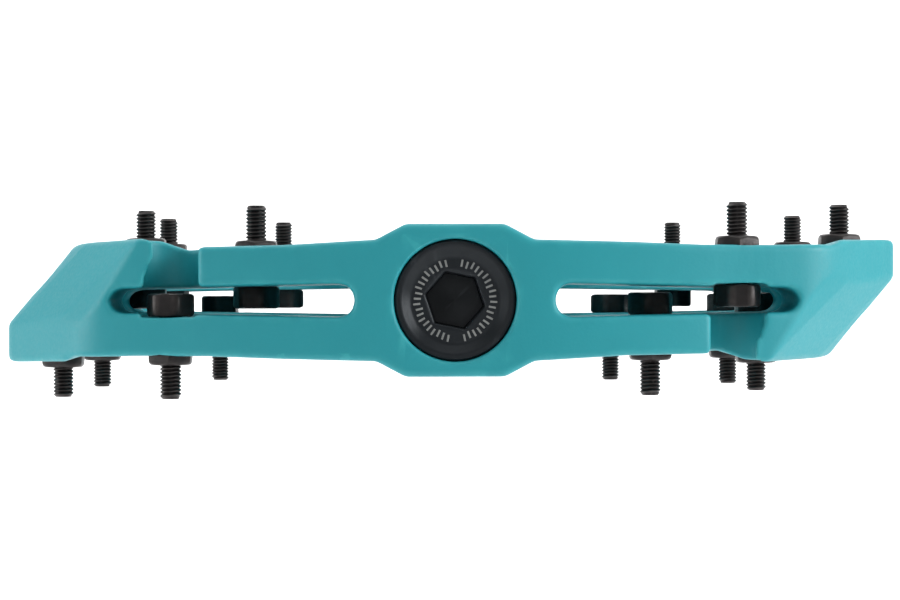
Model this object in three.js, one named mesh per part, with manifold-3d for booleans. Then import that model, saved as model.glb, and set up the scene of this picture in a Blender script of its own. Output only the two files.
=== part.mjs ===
// Flat bicycle pedal: a moulded platform that spins on an axle, with replaceable traction pins.
// Millimetres, +Z up. The axle lies along Y. The origin is on the axle's axis, in the plane of the
// shoulder that seats against the crank. The crank is on the +Y side and the open end on the -Y side.
// Half of the platform, turned by 180 degrees about the axle, gives the other half.
import * as THREE from 'three';
import { mergeVertices } from 'three/addons/utils/BufferGeometryUtils.js';
import Module from 'manifold-3d';

const wasm = await Module();
wasm.setup();

// ---------------------------------------------------------------- driving dimensions

// Platform. "u" is X and "v" is Y counted from the platform's centre.
const CENTRE_Y = -56;
const HALF_LENGTH = 55.4;
const HUB_END_OUT_Y = -103;
const HUB_END_IN_Y = -4.4;
const HALF_WIDTH = 47;
const HUB_HALF_HEIGHT = 8.8;
const DISH_DEPTH = 0.7;
const DISH_HALF_WIDTH = 42;
const DISH_FADE_FROM = 9.1;
const DISH_FADE_TO = 15.3;
const DECK_ROWS = [14, 28, 42, 47];

// Plan outline of one quarter, from the hub's end face round to the leading edge.
const OUTLINE = [
  [0, 47], [9.5, 46.9], [18, 45.8], [26, 44], [33, 41.9], [38.5, 40.3],
  [42.8, 38.6], [45.6, 36], [49.9, 29.6], [53.3, 24.4], [55, 20.6], [55.4, 14], [55.4, 0],
];
const OUTLINE_STEPS = 20;

// Deck height over u. The positive side carries the full-length lobe, the negative side the short one.
const DECK_LONG = [
  [5.7, HUB_HALF_HEIGHT], [9.1, 7.0], [20, 6.75], [28.8, 6.42], [37, 6.5], [44.9, 6.75],
  [46.3, 7.4], [53.8, 7.9], [55.4, 6.7], [57, 6.7],
];
const DECK_SHORT = [
  [5.7, HUB_HALF_HEIGHT], [9.1, 7.0], [20, 6.4], [31.6, 6.15], [34.8, 7.3], [46.9, 7.5], [57, 7.3],
];

// Slanted leading faces: they start this far above the mid-plane and lean in towards the other deck.
const SLANT_START = 2.8;
const SLANT_RATE = 0.88;
const SLANT_FADE_DEG = 80;
const SLANT_STEP_DEG = 12;
const SLANT_REACH_DEG = 48;

// Mid-plane slot, which runs through the whole platform along Y.
const SLOT_INNER = 11.3;
const SLOT_OUTER = 40.6;
const SLOT_HALF_INNER = 1.95;
const SLOT_HALF_OUTER = 1.4;
const SLOT_CORNER = 0.8;

// Windows in the deck, and the ribs between them.
const WINDOW_INNER = 11.5;
const WINDOW_OUTER = 43.4;
const RIB_HALF = 4.2;
const BOSS_RADIUS = 4.9;
const SIDE_WINDOW = [[27.0, 33.4], [34.4, 33.4], [42.9, 21.2], [42.9, 17.0]];
const RAIL_INNER = 34.4;

// Traction pins: the place of the four kinds in one quarter, and which deck they leave on the +u side.
const PINS = [
  { kind: 'n1', u: 23.7, v: 31.7, side: -1, seat: 1.75 },
  { kind: 'n2', u: 33.4, v: 38.1, side: 1, seat: 1.85 },
  { kind: 'n3', u: 38.7, v: 14.9, side: -1, seat: 1.75 },
  { kind: 'n4', u: 48.5, v: 19.9, side: 1, seat: 2.2 },
];
const PIN_RADIUS = 1.25;
const PIN_LENGTH = 9.7;
const PIN_TIP_CHAMFER = 0.3;
const PIN_TURN_DEG = 17;
const HEAD_HEIGHT = 2.7;
const HEAD_FLATS = 5.0;
const HEAD_CHAMFER = 0.3;
const NUT_FLATS = 5.0;
const NUT_HEIGHT = 2.0;
const NUT_PROUD = 1.25;
const NUT_CHAMFER = 0.35;
const THREAD_GAP = 0.08;
const PART_GAP = 0.3;
const PIN_HOLE_RADIUS = 1.45;
const ACCESS_RADIUS = 3.4;

// The notch through which the head of an outer side pin can be seen from the end.
const NOTCH_INNER = 29.8;
const NOTCH_OUTER_SLOT = 36.4;
const NOTCH_OUTER_DECK = 32.8;
const NOTCH_HALF = 3.2;
const NOTCHED_KIND = 'n2';

// Hub bores, from the open end inwards (y values are absolute).
const CAP_BORE_RADIUS = 7.25;
const CAP_BORE_END = -90.4;
const BEARING_SEAT_RADIUS = 6.55;
const BEARING_SEAT_END = -85.2;
const TUNNEL_RADIUS = 5.4;
const BUSHING_SEAT_RADIUS = 7.95;
const BUSHING_SEAT_END = -21.8;
const NECK_BORE_RADIUS = 7.1;
const NECK_BORE_END = -31;
const SEAL_SEAT_RADIUS = 9.0;
const SEAL_SEAT_END = -7.6;
const HUB_BOSS_RADIUS = 10.8;
const HUB_BOSS_END = -24;

// Axle.
const THREAD_RADIUS = 7.1;
const THREAD_LENGTH = 13.5;
const RELIEF_RADIUS = 6.6;
const RELIEF_LENGTH = 1.2;
const RELIEF_ROOT_RADIUS = 7.3;
const RELIEF_ROOT_LENGTH = 0.5;
const FLANGE_RADIUS = 8.8;
const FLANGE_THICKNESS = 3.4;
const JOURNAL_RADIUS = 6.5;
const JOURNAL_END = -22.5;
const SHAFT_RADIUS = 4.6;
const SHAFT_NECK = -30;
const BEARING_JOURNAL_RADIUS = 3.0;
const SHOULDER_Y = -85.3;
const SHOULDER_LENGTH = 3;
const SHOULDER_RADIUS = 4.0;
const AXLE_END = -94.9;
const AXLE_CHAMFER = 0.5;
const AXLE_HEX_FLATS = 8;
const AXLE_HEX_DEPTH = 9;

// Crank-side bushing and seal.
const RUNNING_GAP = 0.06;
const BUSHING_OUTER = 7.9;
const BUSHING_IN = -7.9;
const BUSHING_OUT = -21.6;
const SEAL_OUTER = 8.9;
const SEAL_IN = -4.7;
const SEAL_OUT = -7.4;
const SEAL_LIP = 0.7;
const SEAL_LIP_GAP = 0.13;

// Outboard ball bearing.
const BEARING_IN = -85.35;
const BEARING_WIDTH = 5;
const RACE_OUTER = 6.48;
const RACE_OUTER_LAND = 5.45;
const RACE_INNER = 3.05;
const RACE_INNER_LAND = 4.05;
const PITCH_RADIUS = 4.75;
const BALL_RADIUS = 1.19;
const GROOVE_RADIUS = 1.27;
const BALLS = 7;
const CAGE_INNER = 4.42;
const CAGE_OUTER = 5.08;
const CAGE_WIDTH = 3.2;
const CAGE_POCKET = 1.34;
const SHIELD_THICKNESS = 0.35;
const SHIELD_GAP = 0.09;
const GROOVE_STEPS = 4;
const BALL_FACETS = 8;

// Washer, lock nut, O-ring and end cap.
const WASHER_RADIUS = 5.0;
const WASHER_THICKNESS = 0.8;
const LOCKNUT_FLATS = 9;
const LOCKNUT_HEIGHT = 3.0;
const STACK_GAP = 0.05;
const CAP_FACE = -102.3;
const CAP_RADIUS = 6.95;
const CAP_RING_RADIUS = 5.0;
const CAP_RECESS = 0.9;
const CAP_HEX_FLATS = 6;
const CAP_HEX_DEPTH = 4.6;
const CAP_BACK = -95.6;
const CAP_HEX_TURN_DEG = -18.6;
const CAP_LIP = 0.35;
const CAP_GROOVE_RADIUS = 6.2;
const ORING_SECTION = 0.42;
const ORING_CENTRE = 6.66;
const ORING_Y = -98.6;
const ORING_GROOVE_HALF = 0.6;

// Facets.
const ROUND = 28;
const SMALL_ROUND = 12;
const ACCESS_ROUND = 16;

// ---------------------------------------------------------------- materials

const LOOKS = {
  nylon: { color: 0x2f9aa3, roughness: 0.62, metalness: 0.0 },
  blackSteel: { color: 0x242224, roughness: 0.42, metalness: 0.8 },
  blackAlloy: { color: 0x1c2124, roughness: 0.4, metalness: 0.6 },
  chromoly: { color: 0x3a3b3d, roughness: 0.35, metalness: 0.9 },
  bearingSteel: { color: 0xb9bcc0, roughness: 0.2, metalness: 1.0 },
  bushing: { color: 0xb59a4a, roughness: 0.6, metalness: 0.0 },
  rubber: { color: 0x17181a, roughness: 0.8, metalness: 0.0 },
};

// ---------------------------------------------------------------- solids

const radians = THREE.MathUtils.degToRad;

function signedVolume(positions, index) {
  const a = new THREE.Vector3();
  const b = new THREE.Vector3();
  const c = new THREE.Vector3();
  let sum = 0;
  for (let i = 0; i < index.length; i += 3) {
    a.fromArray(positions, index[i] * 3);
    b.fromArray(positions, index[i + 1] * 3);
    c.fromArray(positions, index[i + 2] * 3);
    sum += a.dot(b.cross(c)) / 6;
  }
  return sum;
}

// A closed three.js geometry as a solid, with its faces turned outwards.
function solid(geometry) {
  const bare = geometry.clone();
  bare.deleteAttribute('normal');
  bare.deleteAttribute('uv');
  const merged = mergeVertices(bare, 1e-4);
  const vertProperties = new Float32Array(merged.attributes.position.array);
  const triVerts = new Uint32Array(merged.index.array);
  if (signedVolume(vertProperties, triVerts) < 0) triVerts.reverse();
  return new wasm.Manifold(new wasm.Mesh({ numProp: 3, vertProperties, triVerts }));
}

const join = (body, ...geometries) => geometries.reduce((sum, g) => sum.add(solid(g)), body);
const cut = (body, ...geometries) => geometries.reduce((left, g) => left.subtract(solid(g)), body);

function geometryOf(body) {
  const { vertProperties, triVerts } = body.getMesh();
  const indexed = new THREE.BufferGeometry();
  indexed.setAttribute('position', new THREE.BufferAttribute(vertProperties, 3));
  indexed.setIndex(new THREE.BufferAttribute(triVerts, 1));
  const faceted = indexed.toNonIndexed();
  faceted.computeVertexNormals();
  return faceted;
}

function mesh(name, body, look) {
  const made = new THREE.Mesh(geometryOf(body), new THREE.MeshStandardMaterial(LOOKS[look]));
  made.name = name;
  return made;
}

// ---------------------------------------------------------------- basic shapes

// A shape turned about Y, from [radius, y] points. A profile that leaves the axis open is a ring,
// so it closes on itself.
function turned(profile, segments = ROUND) {
  const onAxis = profile[0][0] === 0;
  const loop = onAxis ? profile : [...profile, profile[0]];
  return new THREE.LatheGeometry(loop.map(([r, y]) => new THREE.Vector2(r, y)), segments);
}

function rodY(radius, from, to) {
  const geometry = new THREE.CylinderGeometry(radius, radius, Math.abs(to - from), ROUND);
  return geometry.translate(0, (from + to) / 2, 0);
}

// A rod along Z between two z values. With six segments it is a hexagon.
function rodZ(radius, x, y, from, to, segments = ACCESS_ROUND) {
  const geometry = new THREE.CylinderGeometry(radius, radius, Math.abs(to - from), segments);
  return geometry.rotateX(Math.PI / 2).translate(x, y, (from + to) / 2);
}

// A flat outline of [x, y] points raised along Z between two z values.
function prismZ(outline, from, to) {
  const shape = new THREE.Shape(outline.map(([x, y]) => new THREE.Vector2(x, y)));
  const geometry = new THREE.ExtrudeGeometry(shape, { depth: to - from, bevelEnabled: false });
  return geometry.translate(0, 0, from);
}

// An outline of [x, z] points run along Y between two y values.
function prismY(outline, from, to) {
  const shape = new THREE.Shape(outline.map(([x, z]) => new THREE.Vector2(x, z)));
  const geometry = new THREE.ExtrudeGeometry(shape, { depth: to - from, bevelEnabled: false });
  return geometry.rotateX(Math.PI / 2).translate(0, to, 0);
}

// A hexagonal rod about Y, with flats the given distance apart.
function hexY(flats, from, to, turn = 0) {
  const corner = flats / Math.sqrt(3);
  const geometry = new THREE.CylinderGeometry(corner, corner, Math.abs(to - from), 6);
  return geometry.rotateY(turn).translate(0, (from + to) / 2, 0);
}

const scaled = (outline, su, sv) => outline.map(([x, y]) => [x * su, y * sv]);
const SIGNS = [1, -1];
const FAR = 20;

// ---------------------------------------------------------------- platform surfaces

function along(table, at) {
  if (at <= table[0][0]) return table[0][1];
  for (let i = 1; i < table.length; i += 1) {
    const [u0, z0] = table[i - 1];
    const [u1, z1] = table[i];
    if (at <= u1) return z0 + ((z1 - z0) * (at - u0)) / (u1 - u0);
  }
  return table[table.length - 1][1];
}

// How far the middle of the deck lies below its edges.
function dish(u, v) {
  const reach = Math.min(Math.abs(v) / DISH_HALF_WIDTH, 1);
  const fade = THREE.MathUtils.smoothstep(Math.abs(u), DISH_FADE_FROM, DISH_FADE_TO);
  return DISH_DEPTH * fade * (1 - reach * reach);
}

const topHeight = (u, v) => along(u > 0 ? DECK_LONG : DECK_SHORT, Math.abs(u)) - dish(u, v);

// Distance of a deck from the mid-plane: side 1 is the upper deck and side -1 the lower one, which
// is the upper one turned half round about the axle.
const deckHeight = (u, v, side) => topHeight(u * side, v);

function deckLines() {
  const distances = [...DECK_LONG, ...DECK_SHORT].map(([u]) => u);
  const lines = new Set([0, ...distances, ...distances.map((u) => -u)]);
  return [...lines].sort((a, b) => a - b);
}

// The uncut slab between the two decks: a box whose grid is moved onto the deck heights.
function slab() {
  const us = deckLines();
  const vs = [...SIGNS.flatMap((s) => DECK_ROWS.map((v) => s * v)), 0].sort((a, b) => a - b);
  const nu = us.length - 1;
  const nv = vs.length - 1;
  const geometry = new THREE.BoxGeometry(nu, nv, 2, nu, nv, 1);
  const position = geometry.attributes.position;
  for (let i = 0; i < position.count; i += 1) {
    const u = us[Math.round(position.getX(i) + nu / 2)];
    const v = vs[Math.round(position.getY(i) + nv / 2)];
    const side = Math.sign(position.getZ(i));
    position.setXYZ(i, u, v, side * deckHeight(u, v, side));
  }
  return geometry;
}

// Plan outline, as one loop made of a quarter and its mirror images.
function quarterOutline() {
  const curve = new THREE.SplineCurve(OUTLINE.map(([u, v]) => new THREE.Vector2(u, v)));
  const points = curve.getSpacedPoints(OUTLINE_STEPS);
  return points.map((p) => [Math.min(p.x, HALF_LENGTH), Math.min(p.y, HALF_WIDTH)]);
}

function fullOutline() {
  const out = quarterOutline();
  const back = [...out].reverse();
  return [
    ...out,
    ...scaled(back, 1, -1).slice(1),
    ...scaled(out, -1, -1).slice(1),
    ...scaled(back, -1, 1).slice(1, -1),
  ];
}

// One cutter of the slanted end: it faces the given direction in plan and leans in below SLANT_START.
function slantCutter(outline, degrees) {
  const turn = radians(degrees);
  const edge = Math.max(...outline.map(([u, v]) => u * Math.cos(turn) + v * Math.sin(turn)));
  const rate = SLANT_RATE * (1 - Math.abs(degrees) / SLANT_FADE_DEG);
  const drop = FAR - SLANT_START;
  const section = [
    [edge, SLANT_START],
    [edge + FAR, SLANT_START],
    [edge + FAR, -drop],
    [edge - rate * FAR, -drop],
  ];
  return prismY(section, -HALF_LENGTH * 2, HALF_LENGTH * 2).rotateZ(turn);
}

function slantCutters(outline) {
  const cutters = [];
  for (let degrees = -SLANT_REACH_DEG; degrees <= SLANT_REACH_DEG; degrees += SLANT_STEP_DEG) {
    cutters.push(slantCutter(outline, degrees));
    cutters.push(slantCutter(outline, degrees).rotateY(Math.PI));
  }
  return cutters;
}

// ---------------------------------------------------------------- platform openings

function slot(su) {
  const corner = SLOT_CORNER;
  const upper = [
    [SLOT_INNER, SLOT_HALF_INNER - corner],
    [SLOT_INNER + corner, SLOT_HALF_INNER],
    [SLOT_OUTER - corner, SLOT_HALF_OUTER],
    [SLOT_OUTER, SLOT_HALF_OUTER - corner],
  ];
  const section = [...upper, ...scaled([...upper].reverse(), 1, -1)];
  return prismY(scaled(section, su, 1), -HALF_WIDTH * 2, HALF_WIDTH * 2);
}

// Inner edge of a rib at u. The rib runs through the pins n1 and n3.
function ribEdge(u) {
  const [n1, , n3] = PINS;
  const slope = (n3.v - n1.v) / (n3.u - n1.u);
  return n1.v + slope * (u - n1.u) - RIB_HALF * Math.hypot(1, slope);
}

// Where the inner edge of a rib runs into the side rail.
function ribStart() {
  const [n1, , n3] = PINS;
  return n1.u + ((RAIL_INNER - ribEdge(n1.u)) * (n3.u - n1.u)) / (n3.v - n1.v);
}

function windows() {
  const start = ribStart();
  const end = ribEdge(WINDOW_OUTER);
  const middle = [
    [WINDOW_INNER, RAIL_INNER],
    [start, RAIL_INNER],
    [WINDOW_OUTER, end],
    [WINDOW_OUTER, -end],
    [start, -RAIL_INNER],
    [WINDOW_INNER, -RAIL_INNER],
  ];
  const cutters = SIGNS.map((su) => prismZ(scaled(middle, su, 1), -FAR, FAR));
  for (const su of SIGNS) {
    for (const sv of SIGNS) cutters.push(prismZ(scaled(SIDE_WINDOW, su, sv), -FAR, FAR));
  }
  return cutters;
}

// Screws stop at different angles. The angle steps with the place of the pin.
const pinTurn = (x, y) => radians(PIN_TURN_DEG * Math.round(2 * x - y));

// Every pin with the signs of its quarter. side is 1 for a pin that leaves the upper deck.
function placedPins() {
  return SIGNS.flatMap((su) => SIGNS.flatMap((sv) => PINS.map((pin) => {
    const side = pin.side * su;
    const nutTop = deckHeight(su * pin.u, pin.v, side) + NUT_PROUD;
    return { ...pin, x: su * pin.u, y: sv * pin.v, su, sv, side, nutTop };
  })));
}

const hexRadius = (flats) => flats / Math.sqrt(3);

function pinOpenings({ x, y, side, seat, nutTop }) {
  const floor = side * (seat + STACK_GAP);
  const pocketFloor = side * (nutTop - NUT_HEIGHT - STACK_GAP);
  const pocket = hexRadius(NUT_FLATS + PART_GAP);
  return [
    rodZ(PIN_HOLE_RADIUS, x, y, 0, side * FAR, SMALL_ROUND),
    rodZ(ACCESS_RADIUS, x, y, floor, -side * FAR),
    rodZ(pocket, x, y, pocketFloor, side * FAR, 6),
  ];
}

// The notch in the side face through which an outer pin's head is reached and seen.
function notches({ su, sv, side, seat, u, v }) {
  const wide = [
    [NOTCH_INNER, 0],
    [NOTCH_OUTER_SLOT, 0],
    [NOTCH_OUTER_SLOT, SLOT_HALF_OUTER],
    [NOTCH_OUTER_DECK, HUB_HALF_HEIGHT],
    [NOTCH_INNER, HUB_HALF_HEIGHT],
  ];
  const floor = seat + STACK_GAP;
  const shallow = [[u - NOTCH_HALF, 0], [u + NOTCH_HALF, 0], [u + NOTCH_HALF, floor], [u - NOTCH_HALF, floor]];
  const ends = [sv * v, sv * HALF_WIDTH * 2].sort((a, b) => a - b);
  return [
    prismY(scaled(wide, su, -side), ...ends),
    prismY(scaled(shallow, su, side), ...ends),
  ];
}

function hubBores() {
  return [
    rodY(CAP_BORE_RADIUS, HUB_END_OUT_Y - FAR, CAP_BORE_END),
    rodY(BEARING_SEAT_RADIUS, HUB_END_OUT_Y - FAR, BEARING_SEAT_END),
    rodY(TUNNEL_RADIUS, HUB_END_OUT_Y - FAR, FAR),
    rodY(NECK_BORE_RADIUS, NECK_BORE_END, FAR),
    rodY(BUSHING_SEAT_RADIUS, BUSHING_SEAT_END, FAR),
    rodY(SEAL_SEAT_RADIUS, SEAL_SEAT_END, FAR),
  ];
}

function platformBody() {
  const outline = fullOutline();
  let body = solid(slab()).intersect(solid(prismZ(outline, -FAR, FAR)));
  body = cut(body, ...slantCutters(outline), ...SIGNS.map(slot));
  const pins = placedPins();
  const bosses = pins.map(({ x, y }) => rodZ(BOSS_RADIUS, x, y, -FAR, FAR));
  for (const window of windows()) body = body.subtract(cut(solid(window), ...bosses));
  body = cut(body, ...pins.flatMap(pinOpenings));
  body = cut(body, ...pins.filter(({ kind }) => kind === NOTCHED_KIND).flatMap(notches));
  body = body.translate([0, CENTRE_Y, 0]);
  body = join(body, rodY(HUB_BOSS_RADIUS, HUB_BOSS_END, HUB_END_IN_Y));
  return cut(body, ...hubBores());
}

// ---------------------------------------------------------------- pins and nuts

// A screw that stands on its head's seat at the origin and points along +Z.
function pinBody() {
  const corner = hexRadius(HEAD_FLATS);
  const head = turned([
    [0, -HEAD_HEIGHT],
    [corner - HEAD_CHAMFER, -HEAD_HEIGHT],
    [corner, HEAD_CHAMFER - HEAD_HEIGHT],
    [corner, 0],
    [0, 0],
  ], 6);
  const shank = turned([
    [0, -PART_GAP],
    [PIN_RADIUS, -PART_GAP],
    [PIN_RADIUS, PIN_LENGTH - PIN_TIP_CHAMFER],
    [PIN_RADIUS - PIN_TIP_CHAMFER, PIN_LENGTH],
    [0, PIN_LENGTH],
  ], SMALL_ROUND);
  return join(solid(head.rotateX(Math.PI / 2)), shank.rotateX(Math.PI / 2));
}

// A nut with its free face at the origin, below which it lies.
function nutBody() {
  const corner = hexRadius(NUT_FLATS);
  const hex = turned([
    [0, -NUT_HEIGHT],
    [corner, -NUT_HEIGHT],
    [corner, -NUT_CHAMFER],
    [corner - NUT_CHAMFER, 0],
    [0, 0],
  ], 6);
  const hole = rodZ(PIN_RADIUS + THREAD_GAP, 0, 0, -FAR, FAR, SMALL_ROUND);
  return cut(solid(hex.rotateX(Math.PI / 2)), hole);
}

// The pins and nuts of the +X half, which the other half repeats turned about the axle.
function pinHalf(half, pin, nut) {
  const group = new THREE.Group();
  for (const placed of placedPins().filter(({ su }) => su === 1)) {
    const { kind, x, y, sv, side, seat, nutTop } = placed;
    const place = `${half}_${kind}_${sv > 0 ? 'in' : 'out'}`;
    const flip = side > 0 ? 0 : Math.PI;
    const screw = mesh(`pin_${place}`, pin, 'blackSteel');
    screw.position.set(x, y, side * seat);
    screw.rotation.set(flip, 0, side * pinTurn(x, y));
    const nutMesh = mesh(`nut_${place}`, nut, 'blackSteel');
    nutMesh.position.set(x, y, side * nutTop);
    nutMesh.rotation.set(flip, 0, 0);
    group.add(screw, nutMesh);
  }
  return group;
}

// ---------------------------------------------------------------- axle and bearings

function axleBody() {
  const shaft = turned([
    [0, THREAD_LENGTH],
    [THREAD_RADIUS - AXLE_CHAMFER, THREAD_LENGTH],
    [THREAD_RADIUS, THREAD_LENGTH - AXLE_CHAMFER],
    [THREAD_RADIUS, RELIEF_LENGTH],
    [RELIEF_RADIUS, RELIEF_LENGTH],
    [RELIEF_RADIUS, RELIEF_ROOT_LENGTH],
    [RELIEF_ROOT_RADIUS, 0],
    [FLANGE_RADIUS, 0],
    [FLANGE_RADIUS, -FLANGE_THICKNESS],
    [JOURNAL_RADIUS, -FLANGE_THICKNESS],
    [JOURNAL_RADIUS, JOURNAL_END],
    [SHAFT_RADIUS, SHAFT_NECK],
    [SHAFT_RADIUS, SHOULDER_Y + SHOULDER_LENGTH],
    [SHOULDER_RADIUS, SHOULDER_Y + SHOULDER_LENGTH - AXLE_CHAMFER],
    [SHOULDER_RADIUS, SHOULDER_Y],
    [BEARING_JOURNAL_RADIUS, SHOULDER_Y],
    [BEARING_JOURNAL_RADIUS, AXLE_END + AXLE_CHAMFER],
    [BEARING_JOURNAL_RADIUS - AXLE_CHAMFER, AXLE_END],
    [0, AXLE_END],
  ]);
  return cut(solid(shaft), hexY(AXLE_HEX_FLATS, THREAD_LENGTH - AXLE_HEX_DEPTH, FAR));
}

function bushingBody() {
  const bore = JOURNAL_RADIUS + RUNNING_GAP;
  return solid(turned([
    [bore, BUSHING_OUT],
    [BUSHING_OUTER, BUSHING_OUT],
    [BUSHING_OUTER, BUSHING_IN],
    [bore, BUSHING_IN],
  ]));
}

// Lip seal: a flat ring whose inner edge thins to a lip close to the journal.
function sealBody() {
  const lip = JOURNAL_RADIUS + SEAL_LIP_GAP;
  return solid(turned([
    [SEAL_OUTER, SEAL_OUT],
    [SEAL_OUTER, SEAL_IN],
    [lip + SEAL_LIP, SEAL_IN],
    [lip, SEAL_IN - SEAL_LIP],
    [lip, SEAL_IN - 2 * SEAL_LIP],
    [lip + SEAL_LIP, SEAL_OUT + SEAL_LIP],
    [lip + SEAL_LIP, SEAL_OUT],
  ]));
}

const BEARING_OUT = BEARING_IN - BEARING_WIDTH;
const BEARING_MID = (BEARING_IN + BEARING_OUT) / 2;

// A race is a ring with a ball groove in the face that looks at the balls.
function raceBody(back, land) {
  const facing = Math.sign(land - back);
  const reach = Math.acos(Math.abs(land - PITCH_RADIUS) / GROOVE_RADIUS);
  const groove = [];
  for (let i = 0; i <= GROOVE_STEPS; i += 1) {
    const angle = reach * ((2 * i) / GROOVE_STEPS - 1);
    const r = PITCH_RADIUS - facing * GROOVE_RADIUS * Math.cos(angle);
    groove.push([r, BEARING_MID + GROOVE_RADIUS * Math.sin(angle)]);
  }
  return solid(turned([
    [back, BEARING_OUT],
    [land, BEARING_OUT],
    ...groove,
    [land, BEARING_IN],
    [back, BEARING_IN],
  ]));
}

function shieldBody(outerFace, inwards) {
  const faces = [outerFace, outerFace + inwards * SHIELD_THICKNESS];
  const low = Math.min(...faces);
  const high = Math.max(...faces);
  const inner = RACE_INNER_LAND + SHIELD_GAP;
  const outer = RACE_OUTER_LAND - SHIELD_GAP;
  return solid(turned([[inner, low], [outer, low], [outer, high], [inner, high]]));
}

function ballPlace(i) {
  const angle = (i / BALLS) * 2 * Math.PI;
  return [PITCH_RADIUS * Math.cos(angle), BEARING_MID, PITCH_RADIUS * Math.sin(angle)];
}

function ballGeometry(radius) {
  return new THREE.SphereGeometry(radius, BALL_FACETS, BALL_FACETS / 2);
}

function cageBody() {
  const low = BEARING_MID - CAGE_WIDTH / 2;
  const high = BEARING_MID + CAGE_WIDTH / 2;
  const ring = turned([[CAGE_INNER, low], [CAGE_OUTER, low], [CAGE_OUTER, high], [CAGE_INNER, high]]);
  const pockets = [...Array(BALLS).keys()].map((i) => ballGeometry(CAGE_POCKET).translate(...ballPlace(i)));
  return cut(solid(ring), ...pockets);
}

function bearingGroup() {
  const group = new THREE.Group();
  group.add(
    mesh('bearing_outer_race', raceBody(RACE_OUTER, RACE_OUTER_LAND), 'bearingSteel'),
    mesh('bearing_inner_race', raceBody(RACE_INNER, RACE_INNER_LAND), 'bearingSteel'),
    mesh('bearing_shield_in', shieldBody(BEARING_IN, -1), 'rubber'),
    mesh('bearing_shield_out', shieldBody(BEARING_OUT, 1), 'rubber'),
    mesh('bearing_cage', cageBody(), 'bushing'),
  );
  const ball = solid(ballGeometry(BALL_RADIUS));
  for (let i = 0; i < BALLS; i += 1) {
    const placed = mesh(`bearing_ball_${i + 1}`, ball, 'bearingSteel');
    placed.position.set(...ballPlace(i));
    group.add(placed);
  }
  return group;
}

// ---------------------------------------------------------------- outboard end

const WASHER_IN = BEARING_OUT - STACK_GAP;
const WASHER_OUT = WASHER_IN - WASHER_THICKNESS;
const LOCKNUT_IN = WASHER_OUT - STACK_GAP;
const LOCKNUT_OUT = LOCKNUT_IN - LOCKNUT_HEIGHT;
const SHAFT_HOLE = BEARING_JOURNAL_RADIUS + STACK_GAP;

function washerBody() {
  return solid(turned([
    [SHAFT_HOLE, WASHER_OUT],
    [WASHER_RADIUS, WASHER_OUT],
    [WASHER_RADIUS, WASHER_IN],
    [SHAFT_HOLE, WASHER_IN],
  ]));
}

function locknutBody() {
  return cut(solid(hexY(LOCKNUT_FLATS, LOCKNUT_OUT, LOCKNUT_IN)), rodY(SHAFT_HOLE, -FAR * BALLS, 0));
}

// The cap's outer face falls in a shallow cone to a flat ring round the hex socket.
function capBody() {
  const ringFace = CAP_FACE + CAP_RECESS;
  const grooveOut = ORING_Y - ORING_GROOVE_HALF;
  const grooveIn = ORING_Y + ORING_GROOVE_HALF;
  const shell = turned([
    [0, ringFace],
    [CAP_RING_RADIUS, ringFace],
    [CAP_RADIUS - CAP_LIP, CAP_FACE],
    [CAP_RADIUS, CAP_FACE],
    [CAP_RADIUS, grooveOut],
    [CAP_GROOVE_RADIUS, grooveOut],
    [CAP_GROOVE_RADIUS, grooveIn],
    [CAP_RADIUS, grooveIn],
    [CAP_RADIUS, CAP_BACK],
    [0, CAP_BACK],
  ]);
  const turn = radians(CAP_HEX_TURN_DEG);
  const socket = hexY(CAP_HEX_FLATS, ringFace - 1, ringFace + CAP_HEX_DEPTH, turn);
  return cut(solid(shell), socket);
}

function oringBody() {
  const torus = new THREE.TorusGeometry(ORING_CENTRE, ORING_SECTION, 6, 24);
  return solid(torus.rotateX(Math.PI / 2).translate(0, ORING_Y, 0));
}

// ---------------------------------------------------------------- assembly

function platformGroup() {
  const group = new THREE.Group();
  const pin = pinBody();
  const nut = nutBody();
  const frontPins = pinHalf('a', pin, nut);
  const rearPins = pinHalf('b', pin, nut);
  rearPins.rotation.y = Math.PI;
  const pins = new THREE.Group();
  pins.position.y = CENTRE_Y;
  pins.add(frontPins, rearPins);
  group.add(
    mesh('platform_body', platformBody(), 'nylon'),
    pins,
    mesh('bushing', bushingBody(), 'bushing'),
    mesh('crank_side_seal', sealBody(), 'rubber'),
    mesh('end_cap', capBody(), 'blackAlloy'),
    mesh('end_cap_oring', oringBody(), 'rubber'),
  );
  return group;
}

function axleGroup() {
  const group = new THREE.Group();
  group.add(
    mesh('axle', axleBody(), 'chromoly'),
    mesh('axle_washer', washerBody(), 'bearingSteel'),
    mesh('axle_locknut', locknutBody(), 'blackSteel'),
  );
  return group;
}

const group = new THREE.Group();
group.add(axleGroup(), bearingGroup(), platformGroup());

export default group;
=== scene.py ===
# %% [markdown]
# A flat bicycle pedal, seen from its open end
# --------------------------------------------
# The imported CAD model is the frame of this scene. It gives the places of the pins, nuts and cap and
# the ends of the platform. The finer sizes are written here as named values in millimetres, and turn
# into metres when a piece is placed. Each piece rides on its body: the platform, which turns, or the
# axle, which the crank holds. The cage with the bearing's balls keeps its CAD shapes.

import math

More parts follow.
